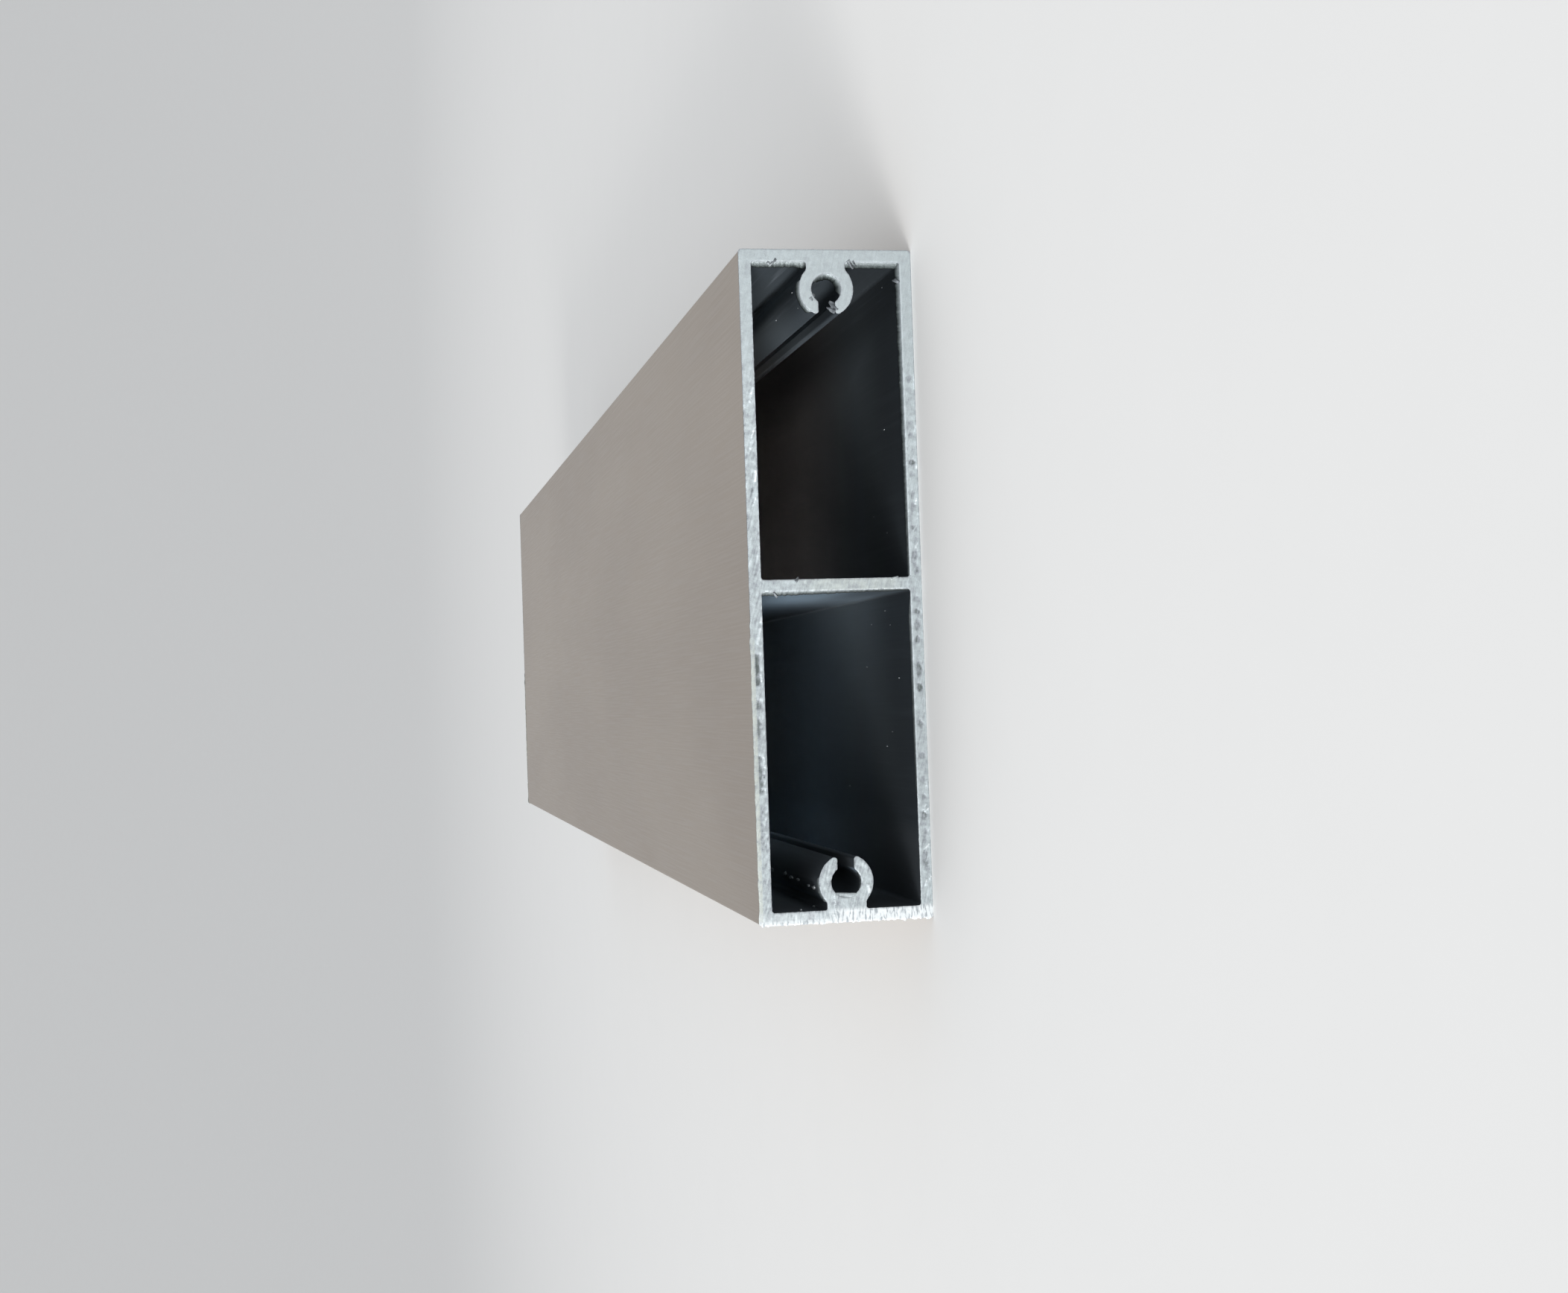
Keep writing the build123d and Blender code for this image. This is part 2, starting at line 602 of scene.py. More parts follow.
# Shallow chatter patches along the wide wall on the floor, as (x, half its length, depth)
CHATTER_PATCHES = (
    (29.2, 0.6, 0.4),
    (27.4, 0.6, 0.5),
    (22.8, 0.6, 0.6),
    (21.0, 0.5, 0.6),
    (17.2, 0.5, 1.0),
    (15.5, 0.5, 0.5),
    (12.7, 0.5, 0.5),
    (10.7, 0.7, 0.6),
    (7.8, 0.5, 0.6),
    (6.0, 0.5, 0.7),
    (4.0, 0.8, 0.8),
    (2.1, 0.8, 0.8),
    (-2.3, 0.5, 0.6),
    (-4.1, 0.4, 0.8),
    (-6.0, 0.9, 0.8),
    (-8.1, 0.6, 0.8),
    (-12.3, 1.1, 1.1),
    (-14.9, 0.7, 1.1),
    (-20.1, 0.7, 0.9),
    (-24.6, 0.6, 0.8),
    (-28.1, 0.6, 0.5),
    (-30.5, 0.5, 0.6),
    (-33.1, 0.7, 1.0),
    (-35.7, 1.0, 0.7),
    (-39.3, 1.3, 0.6),
)
CHATTER_CENTRE = 0.85
CHATTER_HALF_WIDTH = 0.45

# Thin crests, each as (start, end, half its width), painted bright as highlights by the cut's
# colour
RIDGES = (
    # On the port at minus X
    ((-43.3, 14.2), (-46.9, 14.25), 0.08),
    ((-42.6, 9.3), (-44.9, 8.7), 0.22),
    # On the wide wall at the top
    ((27.9, 23.53), (26.0, 24.05), 0.17),
    ((22.3, 23.45), (20.9, 23.95), 0.10),
    ((20.5, 23.9), (19.4, 24.15), 0.18),
    ((16.1, 23.5), (14.85, 23.66), 0.16),
    ((12.4, 23.65), (11.4, 24.06), 0.10),
    ((-4.5, 23.45), (-5.0, 23.5), 0.15),
    ((-6.0, 23.65), (-7.9, 24.1), 0.20),
    ((-12.3, 23.75), (-13.3, 23.65), 0.12),
    ((-24.0, 23.7), (-25.3, 23.6), 0.16),
    ((-26.6, 23.95), (-27.1, 23.85), 0.10),
    ((-28.3, 23.65), (-29.1, 23.5), 0.12),
    # On the wide wall beside the floor
    ((29.9, 0.12), (27.6, 0.12), 0.08),
    ((22.9, 0.13), (21.4, 0.11), 0.11),
    ((17.0, 0.22), (16.3, 0.2), 0.09),
    ((12.0, 0.33), (11.3, 0.51), 0.08),
    ((9.8, 0.18), (9.2, 0.3), 0.08),
    ((8.0, 0.56), (7.4, 0.97), 0.08),
    ((5.7, 0.40), (5.0, 0.68), 0.11),
    ((-28.2, 0.3), (-28.9, 0.35), 0.09),
    ((-31.4, 0.45), (-32.3, 0.95), 0.08),
    ((-32.1, 0.25), (-32.5, 0.65), 0.08),
    ((-37.2, 0.23), (-37.8, 1.0), 0.09),
    ((-41.7, 0.1), (-42.1, 0.3), 0.12),
    ((-42.2, 0.74), (-42.9, 0.99), 0.13),
)


def ridge_marks(x, z):
    """Thin crests on the ports and the wide walls, which the cut's colour paints as bright
    highlights.
    """
    most = 0.0
    for (start_x, start_z), (end_x, end_z), half in RIDGES:
        if min(start_x, end_x) - 0.5 < x < max(start_x, end_x) + 0.5:
            start = Vector((start_x, start_z))
            run = Vector((end_x, end_z)) - start
            here = Vector((x, z)) - start
            share = min(1.0, max(0.0, here.dot(run) / run.length_squared))
            away = (here - run * share).length + 0.06 * wander(x, z, 0.3, 13.0)
            most = max(most, 1 - smooth_step(away, half * 0.6, half * 1.5))
    return most


def dug_marks(x, z):
    """Hollows in the wide wall at the top, dark partly from their shape and partly from painted
    shade: sharp on their outer side, shallower inwards.
    """
    if not DUG_FOOT - 0.3 < z < DUG_TOP + 0.2:
        return 0.0
    sloping = smooth_step(z, DUG_FOOT - 0.15, DUG_TOP - 0.1)
    sloping *= 1 - smooth_step(z, DUG_TOP - 0.1, DUG_TOP + 0.1)
    dashes = max(depth * within(x, start, end, 0.2) for start, end, depth in DUG_STRETCHES)
    broken = 0.8 + 0.5 * wander(x, z, 0.5, 11.0, along=1.0)
    return sloping * dashes * broken


def torn_chips(x, z):
    """How chipped the cut is on the port at minus X and along the wide wall at the top."""
    if z < roof_face:
        return 0.6 if -43.0 < x < -36.0 and z > floor_face else 0.0
    stretches = max(within(x, start - 0.3, end + 0.3, 0.3) for start, end, _ in DUG_STRETCHES)
    upper = within(x, 1.0, 28.0, 1.5) * 0.5
    return max(stretches, upper) * (1 - smooth_step(z, 24.0, 24.4))


def chatter_marks(x, z):
    """Shallow round patches in the wide wall on the floor, in painted shade as low places, the
    deepest with a paler middle.
    """
    if z > floor_face:
        return 0.0
    most = 0.0
    for centre, half, depth in CHATTER_PATCHES:
        if abs(x - centre) < half + 0.4:
            away = math.hypot((x - centre) / half, (z - CHATTER_CENTRE) / CHATTER_HALF_WIDTH)
            away += 0.35 * wander(x, z, 0.45, 15.0)
            patch = 1 - smooth_step(away, 0.55, 1.2)
            hollow_middle = 0.6 * max(0.0, depth - 0.6) * (1 - smooth_step(away, 0.1, 0.5))
            most = max(most, depth * patch - hollow_middle)
    return most


def relief_strength(x, z):
    """How strong the strokes are: weak towards plus X, and strong in the wide wall at the top.

    The outer band of that wall is nearly smooth towards minus X.
    """
    strength = 1 - 0.65 * smooth_step(x, 22.0, 42.0)
    if z < floor_face:
        strength *= 0.75
    if z > roof_face + 0.1:
        outer_band = 1.2 * smooth_step(z, DUG_TOP, DUG_TOP + 0.1)
        strength *= 1.5 - outer_band * (1 - smooth_step(x, -8.0, -4.0))
    return strength


def face_level(x, z, marked):
    """How far the cut stands out here. A marked cut has the marks of the photograph as well."""
    strokes = wander(x, z, 0.36, 1.0, along=3.0) * STROKE_HEIGHT
    coarse = wander(x, z, 1.1, 5.0) * COARSE_MOTTLE
    fine = wander(x, z, 0.45, 7.0) * FINE_MOTTLE
    level = FACE_LEVEL + relief_strength(x, z) * (strokes + (coarse + fine))
    if marked:
        level += CHIP_HEIGHT * torn_chips(x, z) * wander(x, z, 0.35, 17.0, along=0.7)
        level -= DUG_DEPTH * dug_marks(x, z)
        chatter_depth = CHATTER_DEPTH_MINUS_X if x < 0 else CHATTER_DEPTH_PLUS_X
        level -= chatter_depth * chatter_marks(x, z)
        level += RIDGE_HEIGHT * ridge_marks(x, z)
    if x < -wall_face:
        level += END_WALL_HEIGHT * wander(x, z, 0.3, 9.0, along=4.0)
    return max(LOWEST_LEVEL, level)


def ragged(place, way):
    """How far a cut's edge stands out: little, but for ticks at minus X and along the top."""
    tooth = abs(wander(place.x, place.y, 0.5, 31.0, along=0.5))
    reach = 0.02 + 0.06 * tooth
    outside_end = way.x < -0.7 and place.x < -wall_face
    if outside_end:
        reach += 0.35 * max(0.0, wander(place.x, place.y, 0.45, 33.0, along=0.45))
    outside_top = way.y > 0.7 and place.y > roof_face
    if outside_top and place.x < -5.0:
        reach += 0.10 + 0.12 * wander(place.x, place.y, 1.5, 35.0, along=1.5)
    return reach


def edge_points(step):
    """The ragged edges of a cut, and the links between neighbours on them."""
    points = []
    links = []
    for outline in OUTLINES:
        start = len(points)
        fine = fine_outline(outline, step)
        for place, way in zip(fine, outward_ways(fine)):
            moved = place + way * ragged(place, way)
            points.append(Vector((moved.x, max(0.004, moved.y))))
        links += [(start + index, start + (index + 1) % len(fine)) for index in range(len(fine))]
    return points, links


def inside_metal(x, z, points, links):
    """True for each x, z from which a ray crosses the outlines an odd number of times."""
    inside = np.zeros(len(x), dtype=bool)
    for start, end in links:
        first = points[start]
        last = points[end]
        if first.y != last.y:
            crossed = (first.y > z) != (last.y > z)
            crossing = first.x + (z - first.y) * (last.x - first.x) / (last.y - first.y)
            inside ^= crossed & (x < crossing)
    return inside


def grid_inside(points, links, step):
    """Points spread over the metal between the edges, a little off an even grid."""
    columns, rows = np.meshgrid(
        np.arange(-half_width, half_width, step),
        np.arange(0.0, height, step),
    )
    x = columns.ravel()
    z = rows.ravel() + (np.arange(columns.size) % 2) * step * 0.4
    kept = inside_metal(x, z, points, links)
    nearest = kdtree.KDTree(len(points))
    for index, point in enumerate(points):
        nearest.insert((point.x, point.y, 0.0), index)
    nearest.balance()
    spread = []
    for x_here, z_here in zip(x[kept], z[kept]):
        shift = noise.noise_vector(Vector((x_here * 9.7, z_here * 9.7, 0.5))) * step * 0.3
        place = Vector((x_here + shift.x, z_here + shift.y))
        if nearest.find((place.x, place.y, 0.0))[2] > step * 0.6:
            spread.append(place)
    return spread


def link_object(name, data):
    """A new object in the scene, for the mesh, lamp or camera that it gets."""
    made = bpy.data.objects.new(name, data)
    bpy.context.scene.collection.objects.link(made)
    return made


def ride_along(mesh, name, material):
    """Makes a mesh a smooth piece that rides with the profile."""
    mesh.materials.append(material)
    mesh.shade_smooth()
    made = link_object(name, mesh)
    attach(made, "root")


def sawn_face(name, side, step, material):
    """A thin closed skin on a cut, with the relief that the blade left."""
    points, links = edge_points(step)
    places = points + grid_inside(points, links, step)
    flat, _, triangles, sources, _, _ = delaunay_2d_cdt(places, links, [], 1, 1e-6)
    corners = [[flat[index] for index in triangle] for triangle in triangles]
    centres = np.array([sum(three, Vector((0, 0))) / 3 for three in corners])
    kept = inside_metal(centres[:, 0], centres[:, 1], points, links)
    triangles = [tuple(triangle) for triangle, keep in zip(triangles, kept) if keep]

    front = []
    back = []
    for place, source in zip(flat, sources):
        on_edge = not source or source[0] < len(points)
        level = EDGE_LEVEL if on_edge else face_level(place.x, place.y, side == NEAR)
        front.append((place.x, side * (half_length + level), place.y))
        back.append((place.x, side * (half_length - SKIN_SINK), place.y))

    directed = {edge for a, b, c in triangles for edge in ((a, b), (b, c), (c, a))}
    rim = [(start, end) for start, end in directed if (end, start) not in directed]
    count = len(flat)
    faces = list(triangles)
    faces += [(c + count, b + count, a + count) for a, b, c in triangles]
    faces += [(end, start, start + count, end + count) for start, end in sorted(rim)]
    if side == FAR:
        faces = [tuple(reversed(face)) for face in faces]

    mesh = bpy.data.meshes.new(name)
    mesh.from_pydata([tuple(value * MM for value in vertex) for vertex in front + back], [], faces)
    mesh.validate()
    mesh.update()
    ride_along(mesh, name, material)
    mesh.set_sharp_from_angle(angle=math.radians(SHARP_DEGREES))


def port_place(side, angle, radius):
    """A place round a screw port: side is 1 for the port at plus X and -1 for the other."""
    turn = math.radians(angle)
    return Vector((side * port_x + radius * math.sin(turn), middle - radius * math.cos(turn)))


def run_between(start, end, step):
    """The outline from its point nearest start to the one nearest end, and its outward ways."""
    fine = [fine_outline(outline, step) for outline in OUTLINES]
    points = min(fine, key=lambda line: min((place - start).length for place in line))
    ways = outward_ways(points)
    first = min(range(len(points)), key=lambda index: (points[index] - start).length)
    last = min(range(len(points)), key=lambda index: (points[index] - end).length)
    count = (last - first) % len(points) + 1
    order = [(first + index) % len(points) for index in range(count)]
    return [points[index] for index in order], [ways[index] for index in order]


# Burrs: how finely they are made, how far they reach under the cut's skin, and their thickness
LIP_STEP = 0.12
LIP_ROWS = 11
LIP_ROOT = 0.2
LIP_TUCK = 0.8
LIP_THICKNESS = 0.09


def lip_path(start, end, tucked):
    """The points and outward ways along a burr. A tucked one runs on into the walls at its ends."""
    points, ways = run_between(Vector(start), Vector(end), LIP_STEP)
    if tucked:
        before = points[0] + (points[0] - points[1]).normalized() * LIP_TUCK
        after = points[-1] + (points[-1] - points[-2]).normalized() * LIP_TUCK
        points = [before, *points, after]
        ways = [ways[0], *ways, ways[-1]]
    return points, ways


def burr_lip(
    mesh,
    side,
    start,
    end,
    reach,
    drop=0.5,
    end_reach=None,
    folds=0.0,
    tear=0.25,
    seed=0.0,
    tucked=False,
):
    """Adds a burr: metal pushed over an edge of the cut, bent back into the hollow and torn.

    It stands out from the edge by reach at its start and by end_reach at its end, and its free
    edge lies drop behind the cut. folds is the height of three folds along it. A burr that
    isn't tucked tapers off at both ends.
    """
    points, ways = lip_path(start, end, tucked)
    last_reach = reach if end_reach is None else end_reach
    sheet = []
    for index, (place, way) in enumerate(zip(points, ways)):
        share = index / (len(points) - 1)
        taper = 1.0
        if not tucked:
            taper = smooth_step(share, 0.0, 0.12) * (1 - smooth_step(share, 0.88, 1.0))
        waves = 0.6 * wander(place.x, place.y, 1.2, seed, along=1.2)
        teeth = 0.8 * wander(place.x, place.y, 0.32, seed + 5, along=0.32)
        reach_here = reach + (last_reach - reach) * share
        size = reach_here * (0.1 + 0.9 * taper) * (1 + tear * (waves + teeth))
        row = [place - way * LIP_ROOT]
        for step in range(LIP_ROWS):
            row.append(place + way * size * step / (LIP_ROWS - 1))
        spots = []
        for step, spot in enumerate(row):
            turn = max(0, step - 1) / (LIP_ROWS - 1)
            level = EDGE_LEVEL - 0.01 - drop * (0.2 + 0.8 * taper) * turn**1.25
            level += folds * math.sin(turn * 3 * math.tau) * min(1.0, 4 * turn * (1 - turn))
            level += 0.10 * tear * wander(spot.x, spot.y, 0.4, seed + 9) * min(1.0, turn * 3)
            spots.append(Vector((spot.x, side * (half_length + level), max(0.01, spot.y))))
        sheet.append(spots)
    add_sheet(mesh, sheet, Vector((0.0, -side * LIP_THICKNESS, 0.0)))


def add_sheet(mesh, sheet, thickness):
    """Adds a grid of points as a thin closed sheet: thickness is the way from front to back."""
    spots = {}
    for row, points in enumerate(sheet):
        for column, point in enumerate(points):
            spots[row, column] = point
    front = {key: mesh.verts.new(point * MM) for key, point in spots.items()}
    back = {key: mesh.verts.new((point + thickness) * MM) for key, point in spots.items()}
    last_row, last_column = max(spots)
    for row in range(last_row):
        for column in range(last_column):
            square = ((row, column), (row, column + 1), (row + 1, column + 1), (row + 1, column))
            mesh.faces.new([front[key] for key in square])
            mesh.faces.new([back[key] for key in reversed(square)])
    rim = [(0, column) for column in range(last_column)]
    rim += [(row, last_column) for row in range(last_row)]
    rim += [(last_row, column) for column in range(last_column, 0, -1)]
    rim += [(row, 0) for row in range(last_row, 0, -1)]
    for here, after in zip(rim, rim[1:] + rim[:1]):
        mesh.faces.new((front[after], front[here], back[here], back[after]))


def finish_piece(mesh, name, material):
    """Turns a bmesh in metres into a piece that rides with the profile."""
    bmesh.ops.recalc_face_normals(mesh, faces=mesh.faces)
    data = bpy.data.meshes.new(name)
    mesh.to_mesh(data)
    mesh.free()
    ride_along(data, name, material)


FLAKE_COLUMNS = 9
FLAKE_ROWS = 7
FLAKE_THICKNESS = 0.06

# Flakes on the near cut, each as (root, tip, width, levels, fold, wrinkle, seed)
BURR_FLAKES = (
    # Across the bore at minus X, and on the web
    ((-43.85, 14.3), (-43.85, 10.7), 1.0, (0.055, 0.055), 0.0, 0.07, 11.0),
    ((0.6, 4.6), (0.9, 3.4), 0.35, (0.09, 0.06), 0.04, 0.05, 13.0),
)
TORN_FLAKES = (
    # Over the burr at plus X: a tongue, a bright sliver and a folded flake beside the port's neck
    ((46.1, 19.6), (45.2, 20.6), 0.40, (0.1, -0.05), 0.12, 0.08, 1.0),
    ((45.7, 20.9), (45.2, 20.3), 0.4, (0.04, -0.2), 0.1, 0.08, 2.0),
    ((46.0, 9.2), (44.8, 8.5), 0.55, (0.1, 0.0), 0.2, 0.10, 3.0),
    ((45.9, 8.5), (45.2, 8.0), 0.35, (0.1, -0.1), 0.15, 0.10, 4.0),
    # On the port at plus X: a lump inside one arm, and a crumpled chip on the tip of the other
    ((40.4, 14.9), (41.2, 14.2), 0.9, (0.07, -0.1), 0.1, 0.08, 5.0),
    ((39.0, 11.0), (40.2, 12.0), 0.9, (0.0, -0.35), 0.25, 0.20, 6.0),
    ((38.7, 11.3), (39.4, 12.4), 0.7, (-0.05, -0.5), 0.3, 0.2, 7.0),
    # On the wide wall beside the floor
    ((43.0, 1.7), (43.3, 2.7), 0.7, (0.02, -0.25), 0.15, 0.15, 8.0),
    # On either side of the web
    ((-0.9, 21.5), (-1.7, 21.0), 0.35, (0.05, -0.2), 0.10, 0.10, 9.0),
    ((0.5, 18.3), (1.1, 18.0), 0.45, (0.09, 0.02), 0.15, 0.15, 12.0),
)


def flake(mesh, root, tip, width, levels, fold, wrinkle, seed):
    """Adds a torn flake on the near cut: a crumpled sheet from root to tip, of that width.

    levels are those of its root and its tip, and fold is how far its middle stands out from
    them. wrinkle is how far its points are shaken.
    """
    root = Vector(root)
    run = Vector(tip) - root
    across = Vector((-run.y, run.x)).normalized()
    sheet = []
    for column in range(FLAKE_COLUMNS):
        share = column / (FLAKE_COLUMNS - 1)
        torn_edge = 1 + 0.25 * noise.noise(Vector((share * 4, seed, 0.0)))
        half = width / 2 * (1 - 0.55 * share**2) * torn_edge
        row = []
        for step in range(FLAKE_ROWS):
            turn = 2 * step / (FLAKE_ROWS - 1) - 1
            spot = root + run * share + across * half * turn
            level = levels[0] + (levels[1] - levels[0]) * share
            level += fold * (1 - abs(turn)) * math.sin(math.pi * min(1.0, 0.2 + share))
            shake = noise.noise_vector(Vector((share * 3, turn * 1.5, seed))) * wrinkle
            depth = -(half_length + level + shake.y)
            row.append(Vector((spot.x + shake.x, depth, spot.y + shake.z)))
        sheet.append(row)
    add_sheet(mesh, sheet, Vector((0.0, FLAKE_THICKNESS, 0.0)))


# How far from the middle of a short wall its burrs end beside the port's neck
NECK_CLEARANCE = 3.3


def near_burrs(material):
    """The burrs on the near cut, as the photograph shows them."""
    mesh = bmesh.new()
    ring = wall_face - port_x
    in_roof = roof_face - 0.5
    in_floor = floor_face + 0.5

    # Along the inside of the short wall at plus X, either side of the port
    above_port = (wall_face, middle + NECK_CLEARANCE)
    beminus_port = (wall_face, middle - NECK_CLEARANCE)
    burr_lip(mesh, NEAR, (wall_face, in_roof), above_port, 0.8, seed=1.0, tucked=True)
    burr_lip(
        mesh,
        NEAR,
        beminus_port,
        (wall_face, in_floor),
        0.85,
        folds=0.035,
        tear=0.1,
        seed=2.0,
        tucked=True,
    )

    # Down the inside of the wide wall on the floor, either side of the web
    burr_lip(
        mesh,
        NEAR,
        (wall_face - 0.5, floor_face),
        (1.3, floor_face),
        0.6,
        drop=0.42,
        end_reach=0.22,
        seed=3.0,
        tucked=True,
    )
    burr_lip(
        mesh,
        NEAR,
        (-1.3, floor_face),
        (-32.0, floor_face),
        0.3,
        drop=0.35,
        end_reach=0.12,
        seed=4.0,
    )

    # Round the bore at plus X, and from that port's neck down the outside of its arm
    start, end = (port_place(1, angle, bore_radius) for angle in (155, -25))
    burr_lip(mesh, NEAR, start, end, 0.75, drop=0.65, tear=0.2, seed=5.0)
    start, end = (port_place(1, angle, ring) for angle in (160, 237))
    burr_lip(mesh, NEAR, start, end, 0.5, folds=0.02, seed=6.0, tear=0.15)

    # Along the side of the web that faces minus X
    burr_lip(
        mesh,
        NEAR,
        (-web_face, in_roof),
        (-web_face, in_floor),
        0.65,
        drop=0.45,
        end_reach=0.25,
        tear=0.24,
        seed=7.0,
        tucked=True,
    )

    # On the port at minus X: outside one arm, and inside the other
    start, end = (port_place(-1, angle, ring) for angle in (165, 225))
    burr_lip(mesh, NEAR, start, end, 0.3, drop=0.4, seed=9.0)
    start, end = (port_place(-1, angle, bore_radius) for angle in (40, -35))
    burr_lip(mesh, NEAR, start, end, 0.2, tear=0.4, seed=10.0)
    for row in BURR_FLAKES:
        flake(mesh, *row)
    finish_piece(mesh, "near_burrs", material)


def far_burrs(material):
    """Smaller burrs on the far cut, which the photograph doesn't show."""
    mesh = bmesh.new()
    for sign in (1, -1):
        edge = sign * wall_face
        start = (edge, middle + sign * 10)
        end = (edge, middle + sign * 4)
        burr_lip(mesh, FAR, start, end, 0.35, drop=0.3, seed=20.0 + sign)
    start = (-web_face, roof_face - 1)
    end = (-web_face, floor_face + 1)
    burr_lip(mesh, FAR, start, end, 0.3, drop=0.3, seed=22.0)
    burr_lip(mesh, FAR, (30.0, floor_face), (2.0, floor_face), 0.25, drop=0.25, seed=23.0)
    finish_piece(mesh, "far_burrs", material)


def near_flakes(material):
    """Torn flakes that hang on the near cut, each where the photograph shows one."""
    mesh = bmesh.new()
    for row in TORN_FLAKES:
        flake(mesh, *row)
    finish_piece(mesh, "near_flakes", material)


# Crumbs of swarf on the flank of each port and the wall beside it, as (x, y, z, size)
CRUMBS = (
    (-42.5, -185.7, 16.3, 1.2),
    (-42.3, -176.7, 16.4, 0.9),
    (-42.6, -180.9, 16.3, 1.3),
    (-42.5, -166.7, 16.4, 0.9),
    (-42.8, -192.6, 16.3, 0.8),
    (-42.8, -196.2, 16.3, 1.0),
    (-45.8, -197.4, 18.6, 0.6),
    (-45.8, -193.3, 15.8, 0.6),
    (42.3, -195.2, 16.4, 0.3),
    (39.9, -196.1, 15.8, 0.3),
    (40.7, -182.4, 16.2, 0.4),
)

# Specks on the wide wall beside the floor, as (x, y, size)
SPECKS = (
    (23.4, -188.4, 0.35),
    (44.2, -190.0, 0.25),
    (11.2, -180.4, 0.2),
    (8.1, -188.1, 0.25),
    (-3.3, -185.2, 0.3),
    (-5.0, -176.7, 0.3),
    (-5.5, -188.0, 0.25),
    (-13.4, -192.1, 0.35),
    (-21.3, -187.1, 0.25),
    (-23.5, -183.7, 0.4),
    (-30.3, -158.7, 0.5),
    (-11.4, -172.9, 0.4),
)


def crumb(mesh, place, size, seed, flat=0.6):
    """Adds a crumb of swarf: a lumpy grain, pressed flatter along Z."""
    made = bmesh.ops.create_icosphere(mesh, subdivisions=2, radius=1.0)
    for vertex in made["verts"]:
        push = 1 + 0.45 * noise.noise(vertex.co * 1.7 + Vector((seed, 0.0, 0.0)))
        push += 0.25 * noise.noise(vertex.co * 4.0 + Vector((0.0, seed, 0.0)))
        shaped = vertex.co * push * size / 2
        shaped.x *= 0.4 + 0.3 * abs(math.sin(seed))
        shaped.y *= 1.5
        shaped.z *= flat
        vertex.co = (place + shaped) * MM


def loose_swarf(material):
    """Crumbs and specks of swarf inside the mouth, as the photograph shows them."""
    mesh = bmesh.new()
    for index, (x, y, z, size) in enumerate(CRUMBS):
        crumb(mesh, Vector((x, y, z)), size, index * 1.7)
    for index, (x, y, size) in enumerate(SPECKS):
        crumb(mesh, Vector((x, y, floor_face)), size, 30.0 + index * 1.3, flat=0.5)
    finish_piece(mesh, "loose_swarf", material)


def stage_material():
    """A pale, dull colour with a faint grain."""
    tree = Tree("pale_floor")
    grain = tree.noise(tree.where(), 60.0, detail=3.0)
    darker = tuple(0.985 * value for value in STAGE_COLOUR[:3]) + (1.0,)
    tree.set(Base_Color=tree.mix(grain, darker, STAGE_COLOUR))
    tree.set(Roughness=0.9)
    tree.set(Specular_IOR_Level=0.1)
    return tree.material


def make_stage():
    """A round floor that curves gently upwards on every side."""
    rings = [(radius, 0.0) for radius in FLOOR_RINGS]
    for step in range(CURVE_STEPS + 1):
        angle = math.radians(CURVE_DEGREES) * step / CURVE_STEPS
        radius = FLOOR_RADIUS + CURVE_RADIUS * math.sin(angle)
        rings.append((radius, CURVE_RADIUS * (1 - math.cos(angle))))
    vertices = [(0.0, 0.0, 0.0)]
    for radius, level in rings:
        for spoke in range(FLOOR_SPOKES):
            angle = math.tau * spoke / FLOOR_SPOKES
            vertices.append((radius * math.cos(angle), radius * math.sin(angle), level))
    faces = [(0, 1 + spoke, 1 + (spoke + 1) % FLOOR_SPOKES) for spoke in range(FLOOR_SPOKES)]
    for ring in range(len(rings) - 1):
        inner = 1 + ring * FLOOR_SPOKES
        outer = inner + FLOOR_SPOKES
        for spoke in range(FLOOR_SPOKES):
            after = (spoke + 1) % FLOOR_SPOKES
            faces.append((inner + spoke, outer + spoke, outer + after, inner + after))
    mesh = bpy.data.meshes.new("floor")
    mesh.from_pydata(vertices, [], faces)
    mesh.validate()
    mesh.update()
    mesh.materials.append(stage_material())
    mesh.shade_smooth()
    floor = link_object("floor", mesh)


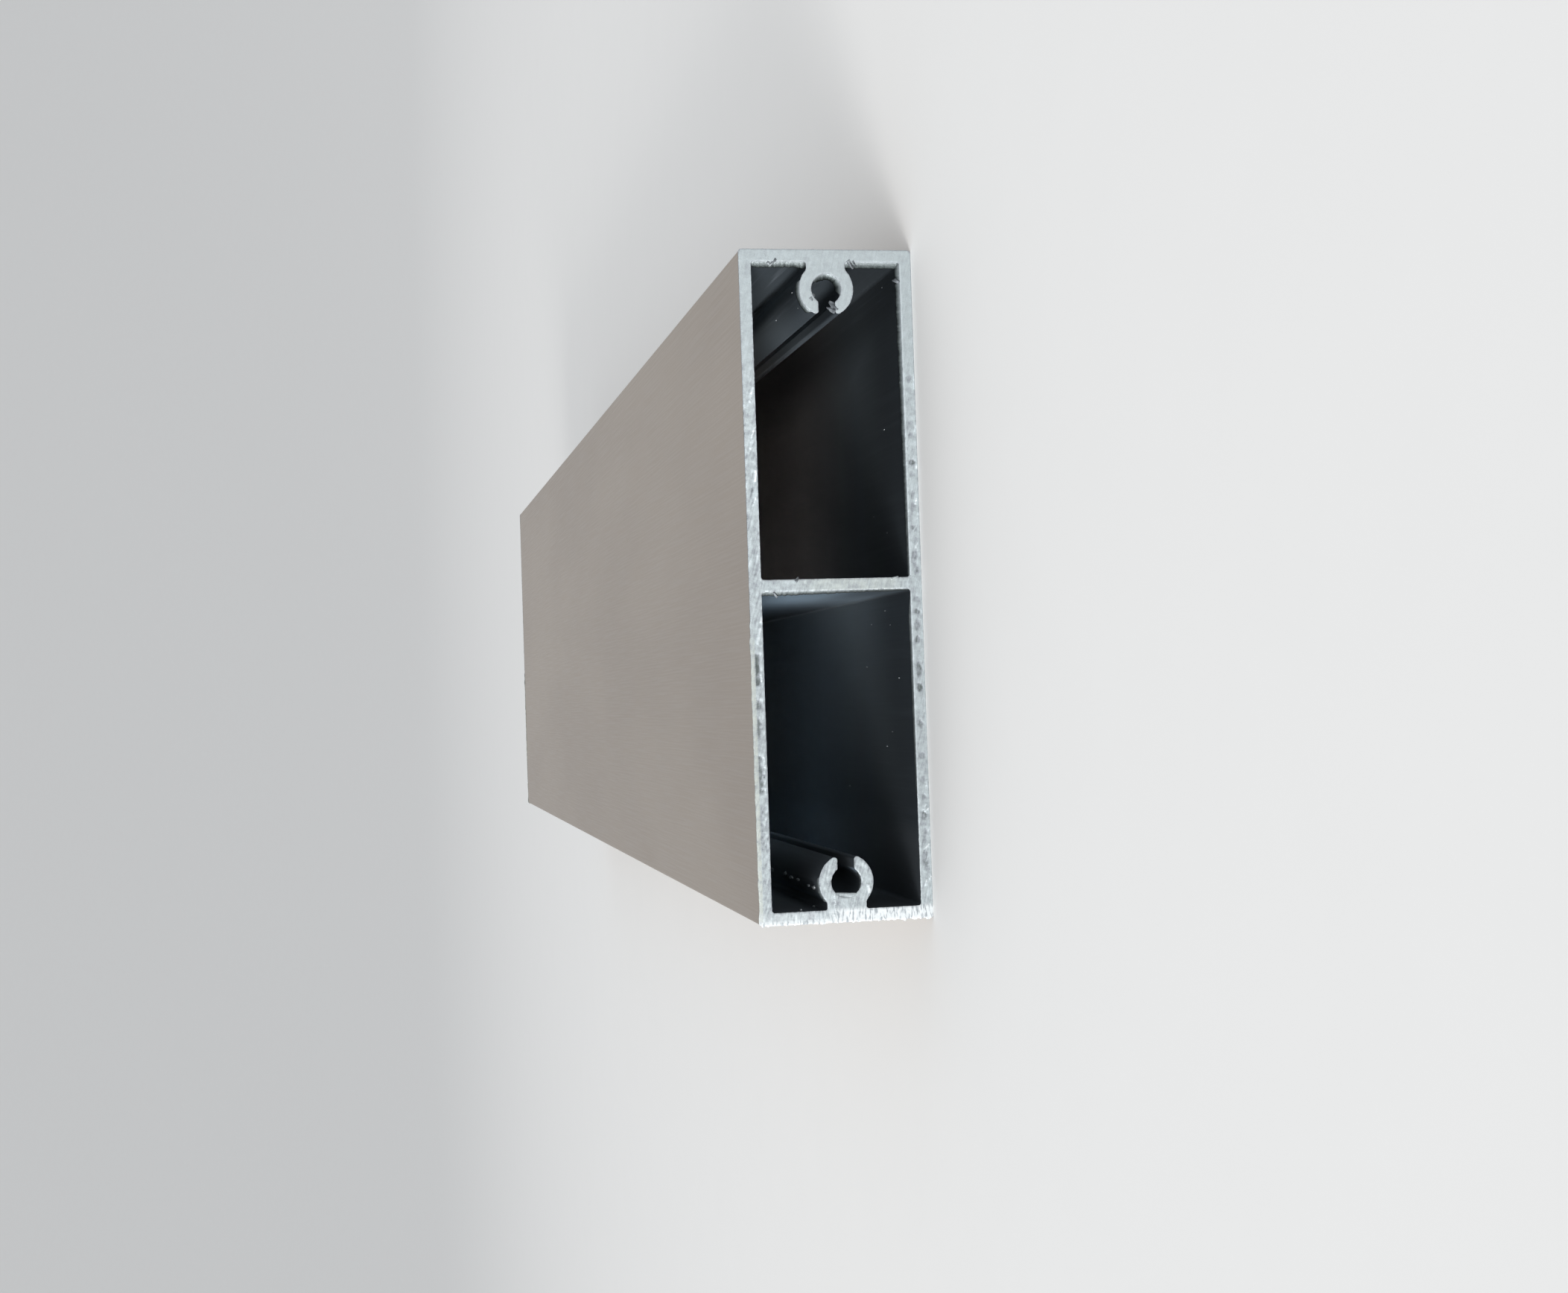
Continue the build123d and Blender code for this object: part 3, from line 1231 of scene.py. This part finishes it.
def add_lamp(name, place, aim, size, power, spread):
    """Adds a rectangular lamp. spread is the angle in degrees that its light opens to."""
    data = bpy.data.lights.new(name, "AREA")
    data.shape = "RECTANGLE"
    data.size, data.size_y = size
    data.energy = power
    data.spread = math.radians(spread)
    lamp = link_object(name, data)
    lamp.location = place
    direction = Vector(aim) - Vector(place)
    lamp.rotation_euler = direction.to_track_quat("-Z", "Y").to_euler()


def make_light():
    """Soft light: a pale world, a lamp overhead and two narrower ones in front, at minus X."""
    world = bpy.data.worlds.new("studio")
    bpy.context.scene.world = world
    world.use_nodes = True
    background = world.node_tree.nodes["Background"]
    background.inputs["Color"].default_value = WORLD_COLOUR
    background.inputs["Strength"].default_value = WORLD_STRENGTH
    for lamp in LAMPS:
        add_lamp(*lamp)


def make_camera():
    """The camera, placed and turned as for the photograph."""
    data = bpy.data.cameras.new("camera")
    data.lens = CAMERA_LENS_MM
    data.sensor_width = SENSOR_WIDTH_MM
    data.clip_start = CLIP_START
    data.clip_end = CLIP_END
    back = -CAMERA_FORWARD.normalized()
    right = CAMERA_UP.cross(back).normalized()
    up = back.cross(right)
    turned = Matrix((right, up, back)).transposed()
    camera = link_object("camera", data)
    camera.matrix_world = Matrix.Translation(CAMERA_PLACE) @ turned.to_4x4()
    bpy.context.scene.camera = camera


# The near cut's outlines, and the inside faces of the walls and the web that they give
OUTLINES = cut_outlines()
hollow_points = [place for outline in OUTLINES[1:] for place in outline]
wall_face = max(place.x for place in hollow_points)
web_face = min(abs(place.x) for place in hollow_points)
roof_face = max(place.y for place in hollow_points)
floor_face = min(place.y for place in hollow_points)

dress_profile()
sawn = sawn_material("sawn_metal", FACE_COLOURS, 0.09, 0.03)
sawn_face("near_sawn_face", NEAR, NEAR_STEP, sawn)
sawn_face("far_sawn_face", FAR, FAR_STEP, sawn)
pushed = sawn_material("pushed_metal", BURR_COLOURS, 0.16, 0.12)
near_burrs(pushed)
far_burrs(pushed)
near_flakes(torn_material())
loose_swarf(swarf_material())
make_stage()
make_light()
make_camera()
bpy.context.scene.view_settings.view_transform = "Standard"
